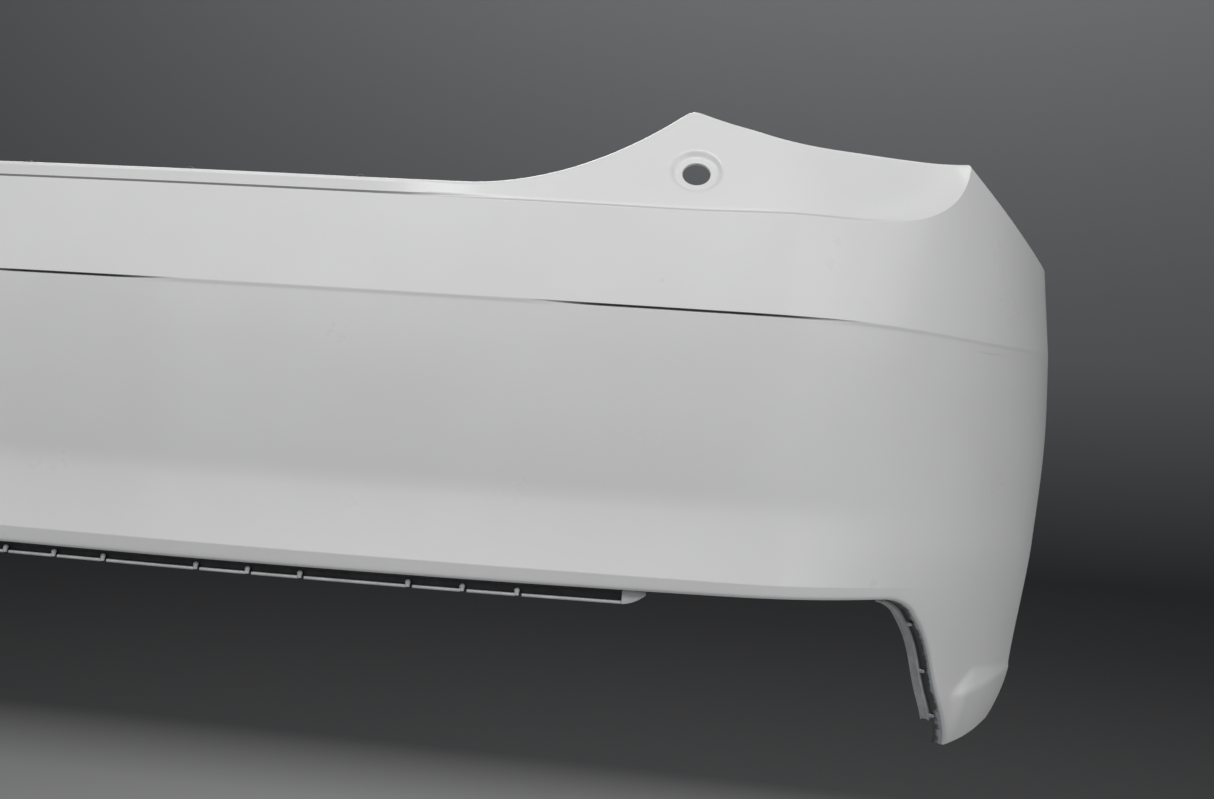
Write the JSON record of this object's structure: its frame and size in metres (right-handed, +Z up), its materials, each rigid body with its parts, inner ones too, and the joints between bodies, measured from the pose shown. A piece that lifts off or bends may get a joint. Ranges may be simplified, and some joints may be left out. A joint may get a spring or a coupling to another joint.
{
  "type": "rear bumper cover",
  "caption": "White rear bumper cover for a small car: wraparound skin with a creased band, horns with dished holes, wheel-arch legs, snap rail, retainer, guides and clips.",
  "frame": {"origin": "on top of the upper retainer's flange, on the centre plane, where the cover rests against the body's sill", "axes": "+X to the car's right-hand side, -Y out of the car's rear face, +Z up"},
  "size_m": [1.6962, 0.4534, 0.5455],
  "materials": {
    "body_paint": "white gloss paint over injection-moulded plastic, with overspray fading to bare black plastic inside",
    "rail_plastic": "mid-grey moulded plastic, slightly dusty",
    "black_plastic": "black moulded plastic with a fine grain",
    "spring_steel": "zinc-plated spring steel",
    "foam": "dark closed-cell foam"
  },
  "bodies": {
    "root": {"bumper_skin": "body_paint", "lower_rail": "rail_plastic", "upper_retainer": "black_plastic", "sill_rivet_1": "black_plastic", "sill_rivet_2": "black_plastic", "sill_rivet_3": "black_plastic", "sill_rivet_4": "black_plastic", "rail_end_right": "rail_plastic", "rail_end_left": "rail_plastic", "leg_rail_right": "rail_plastic", "leg_rail_left": "rail_plastic", "side_guide_right": "black_plastic", "side_guide_left": "black_plastic", "lamp_guide_right": "black_plastic", "lamp_guide_left": "black_plastic", "lamp_foam_right": "foam", "lamp_foam_left": "foam", "arch_clip_nut_1_right": "spring_steel", "arch_clip_nut_1_left": "spring_steel", "arch_clip_nut_2_right": "spring_steel", "arch_clip_nut_2_left": "spring_steel", "arch_clip_nut_3_right": "spring_steel", "arch_clip_nut_3_left": "spring_steel", "leg_clip_nut_right": "spring_steel", "leg_clip_nut_left": "spring_steel"}
  },
  "joints": []
}
